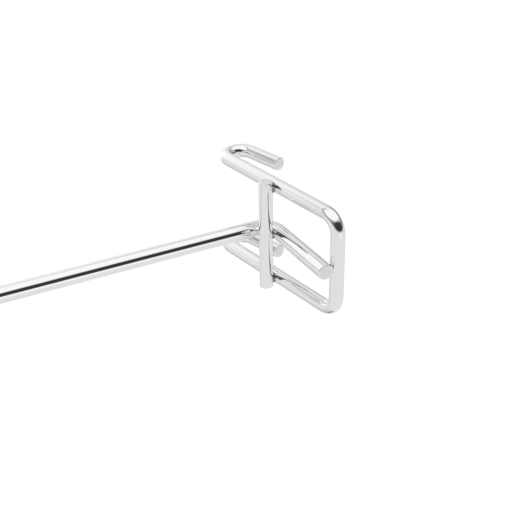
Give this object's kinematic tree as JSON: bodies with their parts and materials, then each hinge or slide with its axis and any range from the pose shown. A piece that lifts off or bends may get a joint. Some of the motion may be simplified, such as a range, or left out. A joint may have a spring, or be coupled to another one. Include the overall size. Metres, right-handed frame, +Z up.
{
  "type": "gridwall hook",
  "caption": "Chromed wire display hook: a straight peg, tipped slightly up, welded to a wire back frame whose two top hooks hang over a gridwall panel's wire.",
  "frame": {"origin": "midway between the two top hooks, at the centre of their bends, where the panel's horizontal wire lies", "axes": "+Z up on the panel, -Y out of the panel on the peg's side, X sideways between the two hooks"},
  "size_m": [0.0528, 0.1707, 0.0888],
  "materials": {
    "chromed_wire": "bright chrome plating on round steel wire, duller on the sheared ends",
    "chromed_rod": "bright chrome plating on round steel rod, duller on the sheared end"
  },
  "bodies": {
    "root": {"back_frame": "chromed_wire", "cross_bar": "chromed_wire", "peg": "chromed_rod"}
  },
  "joints": []
}
